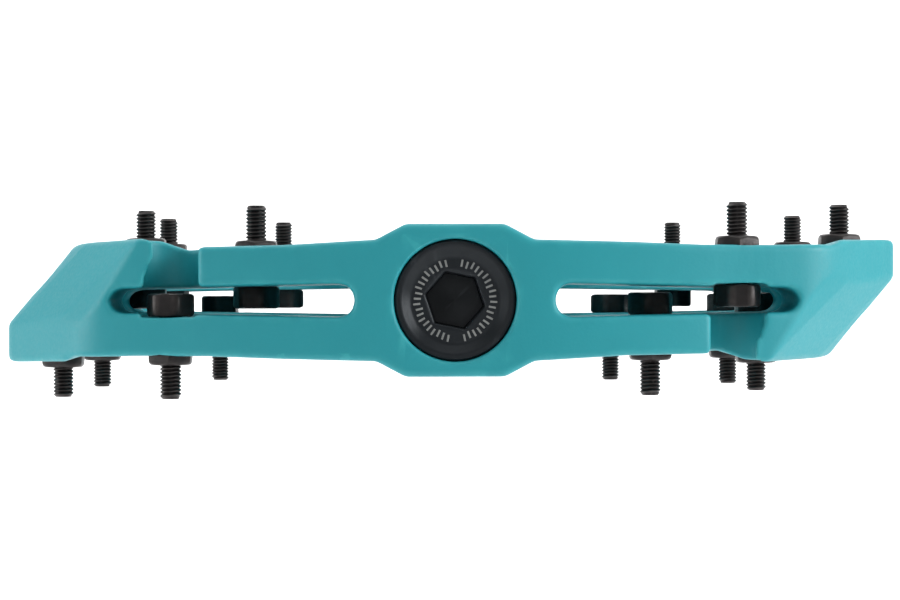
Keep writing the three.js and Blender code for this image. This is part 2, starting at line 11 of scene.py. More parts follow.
import bpy
import numpy as np
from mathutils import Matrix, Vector


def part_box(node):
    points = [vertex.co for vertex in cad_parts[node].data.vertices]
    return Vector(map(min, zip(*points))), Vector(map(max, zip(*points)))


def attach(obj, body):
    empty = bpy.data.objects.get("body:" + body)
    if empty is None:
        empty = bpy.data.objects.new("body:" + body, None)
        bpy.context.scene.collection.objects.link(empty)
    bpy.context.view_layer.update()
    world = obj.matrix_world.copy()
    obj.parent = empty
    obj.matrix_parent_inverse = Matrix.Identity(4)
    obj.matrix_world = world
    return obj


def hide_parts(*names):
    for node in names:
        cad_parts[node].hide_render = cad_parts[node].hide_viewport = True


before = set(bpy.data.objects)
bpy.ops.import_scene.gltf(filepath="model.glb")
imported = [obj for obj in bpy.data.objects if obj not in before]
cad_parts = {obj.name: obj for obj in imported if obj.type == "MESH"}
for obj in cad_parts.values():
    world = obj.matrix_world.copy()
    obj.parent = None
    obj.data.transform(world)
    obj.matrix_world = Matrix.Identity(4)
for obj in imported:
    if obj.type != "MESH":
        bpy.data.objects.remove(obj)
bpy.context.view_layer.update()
MM = 0.001

# %% [markdown]
# The platform is a moulding that is the same after half a turn about the axle. Its middle along the
# axle is the mean of the pins' places, so the pins' own boxes give it. From there on, "u" runs from
# lobe to lobe and "v" along the axle, both in millimetres and counted from that middle.

# %% The platform's middle and the places of the pins
PIN_NAMES = sorted(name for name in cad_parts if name.startswith("pin_"))


def node_box_mm(node):
    low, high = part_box(node)
    return np.array(low) / MM, np.array(high) / MM


def pin_facts(name):
    """Where a pin stands, which way it points, and the heights of its ends and its nut."""
    low, high = node_box_mm(name)
    middle = (low + high) / 2
    side = 1 if high[2] > -low[2] else -1
    nut_low, nut_high = node_box_mm(name.replace("pin_", "nut_"))
    return {
        "name": name,
        "kind": name.split("_")[2],
        "x": middle[0],
        "y": middle[1],
        "side": side,
        "tip": max(high[2], -low[2]),
        "foot": -min(high[2], -low[2]),
        "nut_top": max(nut_high[2], -nut_low[2]),
    }


PINS = [pin_facts(name) for name in PIN_NAMES]
CENTRE_Y = float(np.mean([pin["y"] for pin in PINS]))
BODY_LOW, BODY_HIGH = node_box_mm("platform_body")
print("platform middle y =", round(CENTRE_Y, 2), "mm,", len(PINS), "pins")

# %% [markdown]
# A moulded platform has soft edges everywhere: its tool was rounded by hand and polished. A chain of
# booleans gives hard edges, and bevelling their loose triangles rarely ends well. So the platform is
# described by a field instead: a function that is negative inside the plastic and positive outside.
# Fields join and cut with a smooth maximum, which rounds each edge by as much as one number says.

# %% Smooth joins and cuts of fields
FIELD_STEP = 0.33


def smooth_max(a, b, k):
    """The larger of two fields, blended where they differ by less than k."""
    h = np.clip(0.5 + 0.5 * (a - b) / k, 0, 1)
    return b + (a - b) * h + k * h * (1 - h)


def smooth_min(a, b, k):
    return -smooth_max(-a, -b, k)


def polygon_field(polygon, x, y):
    """Signed distance to a flat outline: negative inside."""
    points = np.array(polygon, float)
    following = np.roll(points, -1, axis=0)
    shape = np.broadcast(x, y).shape
    nearest = np.full(shape, 1e9)
    inside = np.zeros(shape, bool)
    for (ax, ay), (bx, by) in zip(points, following):
        ex, ey = bx - ax, by - ay
        wx, wy = x - ax, y - ay
        t = np.clip((wx * ex + wy * ey) / (ex * ex + ey * ey), 0, 1)
        nearest = np.minimum(nearest, (wx - ex * t) ** 2 + (wy - ey * t) ** 2)
        crosses = ((ay > y) != (by > y)) & (x < (bx - ax) * (y - ay) / (by - ay + 1e-12) + ax)
        inside ^= crosses
    return np.where(inside, -1, 1) * np.sqrt(nearest)


def grid_axis(low, high):
    count = int(math.ceil((high - low) / FIELD_STEP))
    return low + FIELD_STEP * np.arange(count + 1)


MARGIN = 4 * FIELD_STEP
AXES = [
    grid_axis(BODY_LOW[0] - MARGIN, BODY_HIGH[0] + MARGIN),
    grid_axis(BODY_LOW[1] - CENTRE_Y - MARGIN, BODY_HIGH[1] - CENTRE_Y + MARGIN),
    grid_axis(BODY_LOW[2] - MARGIN, BODY_HIGH[2] + MARGIN),
]
print("field grid:", [len(axis) for axis in AXES])

# %% [markdown]
# The decks are what the shoe stands on. Seen from the end they drop from the flat hub down its flanks,
# run slightly downhill along the arms, and rise again into the lobes at both ends. On +u the upper
# deck's low stretch is long and its raised end short, and on -u it is the other way round. The lower
# deck is the upper one after half a turn, so one curve serves both. Between the two side faces the
# decks are dished a little, for the foot. The points are (distance from the axle, height).

# %% Deck heights
LONG_DECK = [(0, 8.8), (5.7, 8.8), (9.1, 7.0), (20, 6.75), (28.8, 6.45), (37, 6.52), (44.9, 6.75),
             (46.3, 7.45), (50, 7.72), (53.6, 7.97), (60, 8.1)]
SHORT_DECK = [(0, 8.8), (5.7, 8.8), (9.1, 7.0), (20, 6.4), (31.6, 6.25), (34.8, 7.35), (46.9, 7.6),
              (60, 7.6)]
DECK_REACH = 60
DECK_STEP = 0.1
DECK_BLUR = 0.22
DISH_DEPTH = 0.7
DISH_HALF_WIDTH = 42
DISH_START = 9.1
DISH_RUN_IN = 6.2


def softened(values, step, reach):
    """Values along a line, averaged over a bell of the given reach."""
    half = int(3 * reach / step)
    bell = np.exp(-0.5 * (np.arange(-half, half + 1) * step / reach) ** 2)
    padded = np.pad(values, half, mode="edge")
    return np.convolve(padded, bell / bell.sum(), mode="valid")


def deck_curve():
    line = np.arange(-DECK_REACH, DECK_REACH + DECK_STEP / 2, DECK_STEP)
    long_side = np.interp(line, *zip(*LONG_DECK))
    short_side = np.interp(-line, *zip(*SHORT_DECK))
    return line, softened(np.where(line > 0, long_side, short_side), DECK_STEP, DECK_BLUR)


DECK_LINE, DECK_VALUES = deck_curve()
DECK_SLOPE = np.gradient(DECK_VALUES, DECK_LINE)


def deck_field(u, v, z):
    """Height above the upper deck, measured square to it."""
    fade = np.clip((np.abs(u) - DISH_START) / DISH_RUN_IN, 0, 1)
    fade = fade * fade * (3 - 2 * fade)
    dish = DISH_DEPTH * fade * (1 - np.minimum(np.abs(v) / DISH_HALF_WIDTH, 1) ** 2)
    height = np.interp(u, DECK_LINE, DECK_VALUES) - dish
    lean = np.sqrt(1 + np.interp(u, DECK_LINE, DECK_SLOPE) ** 2)
    return (z - height) / lean


print("deck height at the hub and on +u at 50 mm:", np.interp([0, 50], DECK_LINE, DECK_VALUES).round(2))

# %% [markdown]
# Seen from above the platform is a rounded octagon, given by the points of one quarter. Its ends lean
# in: below a line a little above the mid-plane the end face slopes back under the deck, and so do the
# corners, less and less towards the sides. Every few degrees one leaning plane touches the outline,
# and the maximum of these planes is the whole end.

# %% The plan outline and the leaning ends
OUTLINE = [(0, 47), (9.5, 46.9), (18, 45.8), (26, 44), (33, 41.9), (38.5, 40.3), (42.8, 38.6),
           (45.6, 36), (49.9, 29.6), (53.4, 24.5), (55.15, 20.8), (55.4, 14), (55.4, 0)]
HALF_LENGTH = float(BODY_HIGH[0])
HALF_WIDTH = 47.0
SLANT_START = 2.8
SLANT_RATE = 0.86
SLANT_FADE = 52
SLANT_DEGREES = range(-48, 49, 8)


def spline(points, steps):
    """A curve through the points. A tangent is half the way from the previous point to the next."""
    p = np.array(points, float)
    out = []
    for i in range(len(p) - 1):
        a, b, c, d = p[max(i - 1, 0)], p[i], p[i + 1], p[min(i + 2, len(p) - 1)]
        for t in np.arange(steps) / steps:
            m0, m1 = (c - a) / 2, (d - b) / 2
            out.append((2 * t**3 - 3 * t**2 + 1) * b + (t**3 - 2 * t**2 + t) * m0
                       + (-2 * t**3 + 3 * t**2) * c + (t**3 - t**2) * m1)
    out.append(p[-1])
    return np.minimum(np.array(out), [HALF_LENGTH, HALF_WIDTH])


def whole_outline():
    quarter = spline(OUTLINE, 6)
    back = quarter[::-1]
    return np.concatenate([quarter, back[1:] * [1, -1], quarter[1:] * [-1, -1], back[1:-1] * [-1, 1]])


PLAN = whole_outline()


def slant_field(u, v, z):
    """The leaning end on the +u side."""
    result = None
    for degrees in SLANT_DEGREES:
        turn = math.radians(degrees)
        edge = float(np.max(PLAN @ np.array([math.cos(turn), math.sin(turn)])))
        rate = SLANT_RATE * (1 - (abs(degrees) / SLANT_FADE) ** 2)
        plane = (u * math.cos(turn) + v * math.sin(turn) - edge + rate * (SLANT_START - z))
        plane = plane / math.sqrt(1 + rate * rate)
        result = plane if result is None else np.maximum(result, plane)
    return result


print("outline points:", len(PLAN))

# %% [markdown]
# The windows save weight and let mud through. A rib runs through each inner pair of pins, from the side
# rail to the end bar, so each half has one large middle window and two narrow ones. Round each pin
# the window steps back for a boss. Corners come out round because the flat field is blurred.

# %% The windows between the ribs
RIB_HALF = 4.2
RAIL_INNER = 34.4
WINDOW_INNER = 11.5
WINDOW_OUTER = 43.4
BOSS_RADIUS = 4.9
WINDOW_BLUR = 0.75
SIDE_WINDOW = [(27.0, 33.4), (34.4, 33.4), (42.9, 21.2), (42.9, 17.0)]


def pin_place(kind):
    """Place of the pin of this kind in the quarter where u and v are positive."""
    pin = next(p for p in PINS if p["kind"] == kind and p["x"] > 0 and p["y"] > CENTRE_Y)
    return pin["x"], pin["y"] - CENTRE_Y


def middle_window():
    (u1, v1), (u3, v3) = pin_place("n1"), pin_place("n3")
    slope = (v3 - v1) / (u3 - u1)
    offset = RIB_HALF * math.hypot(1, slope)
    end = v1 + slope * (WINDOW_OUTER - u1) - offset
    start = u1 + (RAIL_INNER - v1 + offset) / slope
    half = [(WINDOW_INNER, RAIL_INNER), (start, RAIL_INNER), (WINDOW_OUTER, end)]
    return half + [(u, -v) for u, v in reversed(half)]


def blurred(field, reach):
    for axis in (0, 1):
        field = np.apply_along_axis(softened, axis, field, FIELD_STEP, reach)
    return field


def window_field(u, v):
    flat_u, flat_v = u[:, :, 0], v[:, :, 0]
    middle = polygon_field(middle_window(), np.abs(flat_u), flat_v)
    sides = polygon_field(SIDE_WINDOW, np.abs(flat_u), np.abs(flat_v))
    windows = np.minimum(middle, sides)
    for kind in ("n1", "n2", "n3", "n4"):
        pu, pv = pin_place(kind)
        boss = np.hypot(np.abs(flat_u) - pu, np.abs(flat_v) - pv) - BOSS_RADIUS
        windows = np.maximum(windows, -boss)
    return blurred(windows, WINDOW_BLUR)[:, :, None]


print("middle window:", [(round(u, 1), round(v, 1)) for u, v in middle_window()])

# %% [markdown]
# A slot runs through both arms in the mid-plane. It narrows towards the lobes, and at the side faces
# its lips flare out, which gives the light rim round it.

# %% The slot
SLOT_INNER = 11.6
SLOT_OUTER = 40.6
SLOT_HALF_HEIGHTS = [1.9, 1.38]
SLOT_ROUND = 2.2
SLOT_FLARE = 0.14
SLOT_FLARE_REACH = 0.8


def slot_field(u, z, plan):
    across = np.maximum(SLOT_INNER - np.abs(u), np.abs(u) - SLOT_OUTER)
    half_height = np.interp(np.abs(u), [SLOT_INNER, SLOT_OUTER], SLOT_HALF_HEIGHTS)
    flare = SLOT_FLARE * np.exp(np.minimum(plan, 0) / SLOT_FLARE_REACH)
    return smooth_max(across, np.abs(z) - half_height, SLOT_ROUND) - flare


# %% [markdown]
# Every pin has three openings: a hole for its shank, a wide bore on the far deck through which a
# socket wrench reaches its head, and a pocket for its nut. Real pockets are hexagons that keep the
# nut from turning. This one is round, and the nut's corners just reach into its wall. The pins of
# kind n2 stand so close to the side face that a notch opens their bore, and the head shows in it.

# %% Openings for the pins
ACCESS_RADIUS = 3.4
PIN_HOLE_RADIUS = 1.45
NUT_FLATS = 5.0
NUT_HEIGHT = 2.0
HEAD_HEIGHT = 2.7
HEAD_CLEARANCE = 0.05
POCKET_CLEARANCE = 0.36
NOTCH = [(29.8, -1), (36.4, -1), (36.2, 2.7), (35.5, 4.1), (34.5, 5.2), (33.3, 6.3), (32.6, 7.2),
         (32.6, 10), (29.8, 10)]
NOTCH_HALF_WIDTH = 3.2
OPENING_ROUND = 0.3
NOTCH_ROUND = 0.6
CUT_REACH = 6.5


def near(axis, middle, reach):
    """The stretch of a grid axis within reach of a place."""
    found = np.flatnonzero(np.abs(axis - middle) <= reach)
    return slice(found[0], found[-1] + 1)


def cut_pin(body, pin):
    """Cut one pin's openings, working only on the part of the grid round the pin."""
    pu, pv, side = pin["x"], pin["y"] - CENTRE_Y, pin["side"]
    part = (near(AXES[0], pu, CUT_REACH), near(AXES[1], pv, CUT_REACH), slice(None))
    u = AXES[0][part[0]][:, None, None] - pu
    v = AXES[1][part[1]][None, :, None] - pv
    z = AXES[2][None, None, :] * side
    seat = HEAD_HEIGHT + pin["foot"] + HEAD_CLEARANCE
    across = np.hypot(u, v)
    bore = smooth_max(across - ACCESS_RADIUS, z - seat, OPENING_ROUND)
    shank = across - PIN_HOLE_RADIUS
    pocket_floor = pin["nut_top"] - NUT_HEIGHT
    pocket = smooth_max(across - NUT_FLATS / 2 - POCKET_CLEARANCE, pocket_floor - z, 0.2)
    local = body[part]
    for cutter in (bore, shank, pocket):
        local = smooth_max(local, -cutter, OPENING_ROUND)
    if pin["kind"] == "n2":
        outward = -np.sign(pv) * v
        out_u = u * np.sign(pu) + abs(pu)
        notch = polygon_field(NOTCH, out_u[:, 0, :], -z[:, 0, :])[:, None, :]
        notch = smooth_max(notch, outward, OPENING_ROUND)
        shallow = np.maximum(np.abs(u) - NOTCH_HALF_WIDTH, np.maximum(z - seat, -z))
        shallow = smooth_max(shallow, outward, OPENING_ROUND)
        local = smooth_max(local, -notch, NOTCH_ROUND)
        local = smooth_max(local, -shallow, OPENING_ROUND)
    body[part] = local


# %% [markdown]
# The hub is bored through for the axle: wide at the open end for the cap, narrower for the bearing,
# a plain tunnel, and at the crank end the seats for the bushing and the seal, inside a round boss.
# Each bore is (radius, start, end) along the axle, and so is the boss. The start and end that lie
# outside the platform just let a bore run through its face. All parts of the field meet here.

# %% Hub bores
CAP_BORE = 7.06
HUB_BORES = [(CAP_BORE, -200, -90.4), (6.55, -200, -85.2), (5.4, -200, 20), (7.1, -31, 20),
             (7.95, -21.8, 20), (9.0, -7.6, 20)]
CRANK_BOSS = (10.8, -24, float(BODY_HIGH[1]))
BOSS_EDGE_ROUND = 0.9
BOSS_FOOT_ROUND = 1.2
BORE_EDGE_ROUND = 0.35
DECK_EDGE_ROUND = 0.8
SLANT_EDGE_ROUND = 0.5
SIDE_EDGE_ROUND = 0.3
SLOT_EDGE_ROUND = 0.45
WINDOW_EDGE_ROUND = 0.9


def rod_field(around, y, radius, start, end, soft):
    return smooth_max(around - radius, np.maximum(start - y, y - end), soft)


def platform_field():
    u = AXES[0][:, None, None]
    v = AXES[1][None, :, None]
    z = AXES[2][None, None, :]
    plan = polygon_field(PLAN, u[:, :, 0], v[:, :, 0])[:, :, None]
    slants = smooth_max(slant_field(u, v, z), slant_field(-u, v, -z), SLANT_EDGE_ROUND)
    sides = smooth_max(np.broadcast_to(plan, slants.shape), slants, SIDE_EDGE_ROUND)
    decks = np.maximum(deck_field(u, v, z), deck_field(-u, v, -z))
    body = smooth_max(decks, sides, DECK_EDGE_ROUND)
    body = smooth_max(body, -slot_field(u, z, plan), SLOT_EDGE_ROUND)
    body = smooth_max(body, -np.broadcast_to(window_field(u, v), body.shape), WINDOW_EDGE_ROUND)
    for pin in PINS:
        cut_pin(body, pin)
    around = np.hypot(u, z)
    y = v + CENTRE_Y
    body = smooth_min(body, rod_field(around, y, *CRANK_BOSS, BOSS_EDGE_ROUND), BOSS_FOOT_ROUND)
    for radius, start, end in HUB_BORES:
        body = smooth_max(body, -rod_field(around, y, radius, start, end, 0.1), BORE_EDGE_ROUND)
    return body.astype(np.float32)


FIELD = platform_field()
print("field:", FIELD.shape, "solid share:", round(float((FIELD < 0).mean()), 3))

# %% [markdown]
# The field becomes a mesh with one vertex in each cell that the surface passes through, set at the
# mean of the places where the surface crosses the cell's edges. Every grid edge that it crosses gives
# one four-sided face. The shading normals come from the field itself, so that the flat decks stay calm.

# %% From field to mesh
OFFSETS = np.array([(i, j, k) for i in (0, 1) for j in (0, 1) for k in (0, 1)])
CUBE_EDGES = [(a, b) for a in range(8) for b in range(a + 1, 8)
              if abs(OFFSETS[a] - OFFSETS[b]).sum() == 1]
AXIS_ORIGIN = np.array([axis[0] for axis in AXES])
NORMAL_REACH = 0.75
SHELL_TRIANGLES = 190000


def net_vertices(field):
    """One vertex per crossed cell, in grid steps, with a table that finds a cell's vertex."""
    inside = field < 0
    count = sum(inside[i:inside.shape[0] - 1 + i, j:inside.shape[1] - 1 + j,
                       k:inside.shape[2] - 1 + k].astype(np.int8) for i, j, k in OFFSETS)
    cells = np.argwhere((count > 0) & (count < 8))
    corners = cells[:, None, :] + OFFSETS[None]
    values = field[corners[..., 0], corners[..., 1], corners[..., 2]]
    total = np.zeros((len(cells), 3))
    weight = np.zeros(len(cells))
    for a, b in CUBE_EDGES:
        crossed = (values[:, a] < 0) != (values[:, b] < 0)
        t = np.where(crossed, values[:, a] / (values[:, a] - values[:, b] + 1e-20), 0)
        point = OFFSETS[a] + t[:, None] * (OFFSETS[b] - OFFSETS[a])
        total += point * crossed[:, None]
        weight += crossed
    index = np.full([n - 1 for n in field.shape], -1, np.int32)
    index[tuple(cells.T)] = np.arange(len(cells))
    return cells + total / weight[:, None], index, inside


def net_faces(index, inside):
    """A face for each grid edge with its two ends on different sides of the surface."""
    faces = []
    for axis in range(3):
        u, v = (axis + 1) % 3, (axis + 2) % 3
        here = [slice(1, -1)] * 3
        here[axis] = slice(0, -1)
        following = [slice(1, -1)] * 3
        following[axis] = slice(1, None)
        a, b = inside[tuple(here)], inside[tuple(following)]
        for crossing, flip in ((a & ~b, False), (~a & b, True)):
            base = np.argwhere(crossing)
            base[:, u] += 1
            base[:, v] += 1
            ring = []
            for du, dv in ((-1, -1), (0, -1), (0, 0), (-1, 0)):
                corner = base.copy()
                corner[:, u] += du
                corner[:, v] += dv
                ring.append(index[tuple(corner.T)])
            ring = np.stack(ring, axis=1)
            faces.append(ring[:, ::-1] if flip else ring)
    return np.concatenate(faces)


def sampled(field, points):
    """Field values between the grid points."""
    cell = np.clip(np.floor(points).astype(int), 0, np.array(field.shape) - 2)
    part = points - cell
    value = np.zeros(len(points))
    for offset in OFFSETS:
        weight = np.prod(np.where(offset, part, 1 - part), axis=1)
        at = cell + offset
        value += weight * field[at[:, 0], at[:, 1], at[:, 2]]
    return value


def field_normals(field, points):
    """The way in which the field grows fastest, which is straight out of the surface."""
    steps = []
    for axis in range(3):
        step = np.zeros(3)
        step[axis] = NORMAL_REACH
        steps.append(sampled(field, points + step) - sampled(field, points - step))
    normals = np.stack(steps, axis=1)
    return normals / np.maximum(np.linalg.norm(normals, axis=1, keepdims=True), 1e-9)


def new_object(name, mesh):
    made = bpy.data.objects.new(name, mesh)
    bpy.context.scene.collection.objects.link(made)
    return made


def mesh_of(name, vertices, faces):
    mesh = bpy.data.meshes.new(name)
    mesh.from_pydata([tuple(v) for v in vertices], [], [tuple(f) for f in faces])
    mesh.validate()
    mesh.update()
    mesh.shade_smooth()
    return mesh


def applied(made, name):
    """The object's mesh with its modifiers worked out, as a new plain object."""
    shown = made.evaluated_get(bpy.context.evaluated_depsgraph_get())
    plain = new_object(name, bpy.data.meshes.new_from_object(shown))
    plain.data.name = name
    bpy.data.objects.remove(made)
    return plain


def thinned(made, name, target):
    """The object with about as many triangles as the target, joined where the surface is flattest."""
    triangles = sum(len(p.vertices) - 2 for p in made.data.polygons)
    thin = made.modifiers.new("thin", "DECIMATE")
    thin.ratio = min(1, target / triangles)
    print(name, "triangles before and after thinning:", triangles, min(triangles, target))
    return applied(made, name)


def platform_shell():
    vertices, index, inside = net_vertices(FIELD)
    faces = net_faces(index, inside)
    mesh = mesh_of("raw_shell", vertices, faces)
    shell = thinned(new_object("raw_shell", mesh), "platform_shell", SHELL_TRIANGLES)
    points = np.empty(len(shell.data.vertices) * 3)
    shell.data.vertices.foreach_get("co", points)
    points = points.reshape(-1, 3)
    normals = field_normals(FIELD, points)
    placed = (points * FIELD_STEP + AXIS_ORIGIN + [0, CENTRE_Y, 0]) * MM
    shell.data.vertices.foreach_set("co", placed.ravel())
    shell.data.normals_split_custom_set_from_vertices(normals)
    shell.data.update()
    return shell


shell = platform_shell()
print("shell size, mm:", [round(n / MM, 2) for n in shell.dimensions])

# %% [markdown]
# The metal parts are round about an axis, so each is a profile swept round it. Where a profile point
# has flats, the sweep's radius follows a hexagon instead of a circle, and a chamfer is then just a
# cone that trims the hexagon's corners, as on a real nut.

# %% Turned parts
HEX_SIDES = 6


def hex_radius(half_flats, angle):
    half_side = math.pi / HEX_SIDES
    return half_flats / np.cos(np.mod(angle + half_side, 2 * half_side) - half_side)


def hex_corner(half_flats):
    return half_flats / math.cos(math.pi / HEX_SIDES)


def turned(name, profile, count, closed=False, turn=0.0):
    """Sweep (radius, height, half flats or None) points round Z. A closed profile makes a ring."""
    angle = turn + 2 * math.pi * np.arange(count) / count
    rings = []
    for radius, height, half_flats in profile:
        ring = np.full(count, float(radius))
        if half_flats:
            ring = np.minimum(ring, hex_radius(half_flats, angle - turn))
        rings.append(np.stack([ring * np.cos(angle), ring * np.sin(angle), np.full(count, height)], 1))
    vertices = np.concatenate(rings)
    faces = []
    rows = len(profile) if closed else len(profile) - 1
    for row in range(rows):
        for i in range(count):
            j = (i + 1) % count
            low, high = row * count, ((row + 1) % len(profile)) * count
            faces.append((low + i, low + j, high + j, high + i))
    if not closed:
        faces.append(tuple(range(count))[::-1])
        faces.append(tuple(range((len(profile) - 1) * count, len(profile) * count)))
    return mesh_of(name, vertices, faces)


def rows_between(start, end, step):
    return np.linspace(start, end, max(2, int(round((end - start) / step)) + 1))


# %% [markdown]
# A traction pin is an M2.5 screw with a 0.45 mm pitch. Its head is a hexagon for a socket wrench, a
# little longer than the nut. The nut on the far side has its corners chamfered at both faces, and its
# outer face rises slightly towards the thread. Both are swept here, with profile points that are
# (radius, height, half the distance across the flats), and geometry nodes place them later.

# %% The pin and the nut
PIN_RADIUS = 1.25
PIN_PITCH = 0.45
THREAD_DEPTH = 0.26
HEAD_FLATS = 5.0
CORNER_TRIM = 0.3
PIN_FACETS = 36
PIN_TOTAL = float(np.mean([pin["tip"] - pin["foot"] for pin in PINS]))


def pin_mesh():
    """Head foot at 0, tip upwards."""
    half = HEAD_FLATS / 2
    top = hex_corner(half)
    socket = 1.3
    profile = [
        (0.05, 1.1, None),
        (socket, 1.1, None),
        (socket, 0.18, None),
        (socket + 0.18, 0, None),
        (half - 0.12, 0, None),
        (half, 0.06, None),
        (half + 0.16, 0.12, half),
        (top - 0.02, CORNER_TRIM, half),
        (top - 0.02, HEAD_HEIGHT - CORNER_TRIM, half),
        (half + 0.16, HEAD_HEIGHT - 0.12, half),
        (half, HEAD_HEIGHT - 0.05, None),
        (half - 0.15, HEAD_HEIGHT, None),
        (PIN_RADIUS + 0.2, HEAD_HEIGHT, None),
        (PIN_RADIUS, HEAD_HEIGHT + 0.2, None),
    ]
    shank = rows_between(HEAD_HEIGHT + 0.3, PIN_TOTAL - 0.32, PIN_PITCH / 5)
    profile += [(PIN_RADIUS, z, None) for z in shank]
    profile += [(PIN_RADIUS - 0.3, PIN_TOTAL, None), (0.05, PIN_TOTAL, None)]
    return turned("pin_shape", profile, PIN_FACETS)


def nut_mesh():
    """Floor at 0, face upwards."""
    half = NUT_FLATS / 2
    top = hex_corner(half)
    bore = PIN_RADIUS - 0.16
    profile = [
        (bore + 0.2, 0, None),
        (half, 0, None),
        (top - 0.02, 0.25, half),
        (top - 0.06, NUT_HEIGHT - 0.62, half - 0.01),
        (half + 0.2, NUT_HEIGHT - 0.36, half - 0.04),
        (half + 0.02, NUT_HEIGHT - 0.2, half - 0.1),
        (half - 0.16, NUT_HEIGHT - 0.1, None),
        (half - 0.4, NUT_HEIGHT - 0.04, None),
        (PIN_RADIUS + 0.32, NUT_HEIGHT, None),
        (PIN_RADIUS + 0.05, NUT_HEIGHT - 0.04, None),
        (bore, NUT_HEIGHT - 0.3, None),
        (bore, 0.2, None),
    ]
    return turned("nut_shape", profile, PIN_FACETS, closed=True)


PIN_SHAPE = new_object("pin_shape", pin_mesh())
NUT_SHAPE = new_object("nut_shape", nut_mesh())
print("pin length, mm:", round(PIN_TOTAL, 2), "vertices:", len(PIN_SHAPE.data.vertices))

# %% [markdown]
# Geometry nodes do the two jobs that repeat. One group cuts a thread: it moves each vertex of the
# shank towards the axis by a tooth whose phase grows along the axis and round it, so that the
# grooves climb like a real thread. The other puts a copy of a shape on every point, turned by the
# point's own "tilt": over for the lower deck, and about the axis by the angle at which it stopped.

# %% Geometry node helpers
THREAD_CREST = 0.3
SHARP_DEGREES = 32


class Tree:
    """A node tree being built: socket() adds an input or output, node() adds a node and fills it."""

    def __init__(self, name=None, kind="GeometryNodeTree", tree=None):
        self.tree = bpy.data.node_groups.new(name, kind) if tree is None else tree

    def socket(self, name, kind, default=None, way="INPUT"):
        made = self.tree.interface.new_socket(name, in_out=way, socket_type="NodeSocket" + kind)
        if default is not None:
            made.default_value = default
        return made

    def node(self, kind, values=(), **settings):
        node = self.tree.nodes.new(kind)
        for name, value in settings.items():
            setattr(node, name, value)
        for place, value in dict(values).items():
            target = node.inputs[place]
            if isinstance(value, bpy.types.NodeSocket):
                self.tree.links.new(value, target)
            else:
                target.default_value = value
        return node

    def math(self, operation, a, b=0.0, c=0.0):
        return self.node("ShaderNodeMath", {0: a, 1: b, 2: c}, operation=operation).outputs[0]


def thread_group():
    """Grooves with flat crests, cut only on the shank between two heights."""
    t = Tree("thread")
    t.socket("Geometry", "Geometry")
    for name, default in (("Radius", 1.25), ("Pitch", 0.45), ("Depth", 0.26), ("From", 3.0), ("To", 9.0)):
        t.socket(name, "Float", default)
    t.socket("Geometry", "Geometry", way="OUTPUT")
    given = t.node("NodeGroupInput").outputs
    place = t.node("ShaderNodeSeparateXYZ", {0: t.node("GeometryNodeInputPosition").outputs[0]}).outputs
    around = t.math("DIVIDE", t.math("ARCTAN2", place[1], place[0]), 2 * math.pi)
    phase = t.math("FRACT", t.math("SUBTRACT", t.math("DIVIDE", place[2], given["Pitch"]), around))
    tooth = t.math("ABSOLUTE", t.math("MULTIPLY_ADD", phase, 2.0, -1.0))
    tooth = t.math("MAXIMUM", t.math("SUBTRACT", tooth, THREAD_CREST), 0.0)
    tooth = t.math("MULTIPLY", tooth, 1 / (1 - THREAD_CREST))
    across = t.math("SQRT", t.math("ADD", t.math("MULTIPLY", place[0], place[0]),
                                   t.math("MULTIPLY", place[1], place[1])))
    outer = t.math("GREATER_THAN", across, t.math("MULTIPLY", given["Radius"], 0.97))
    inner = t.math("LESS_THAN", across, t.math("MULTIPLY", given["Radius"], 1.03))
    begun = t.math("GREATER_THAN", place[2], given["From"])
    ended = t.math("LESS_THAN", place[2], given["To"])
    amount = t.math("MULTIPLY", t.math("MULTIPLY", tooth, given["Depth"]),
                    t.math("MULTIPLY", t.math("MULTIPLY", outer, inner),
                           t.math("MULTIPLY", begun, ended)))
    shrink = t.math("SUBTRACT", 1.0, t.math("DIVIDE", amount, t.math("MAXIMUM", across, 0.001)))
    moved = t.node("ShaderNodeCombineXYZ", {0: t.math("MULTIPLY", place[0], shrink),
                                            1: t.math("MULTIPLY", place[1], shrink), 2: place[2]})
    cut = t.node("GeometryNodeSetPosition", {"Geometry": given["Geometry"], "Position": moved.outputs[0]})
    t.node("NodeGroupOutput", {0: cut.outputs[0]})
    return t.tree


THREAD = thread_group()


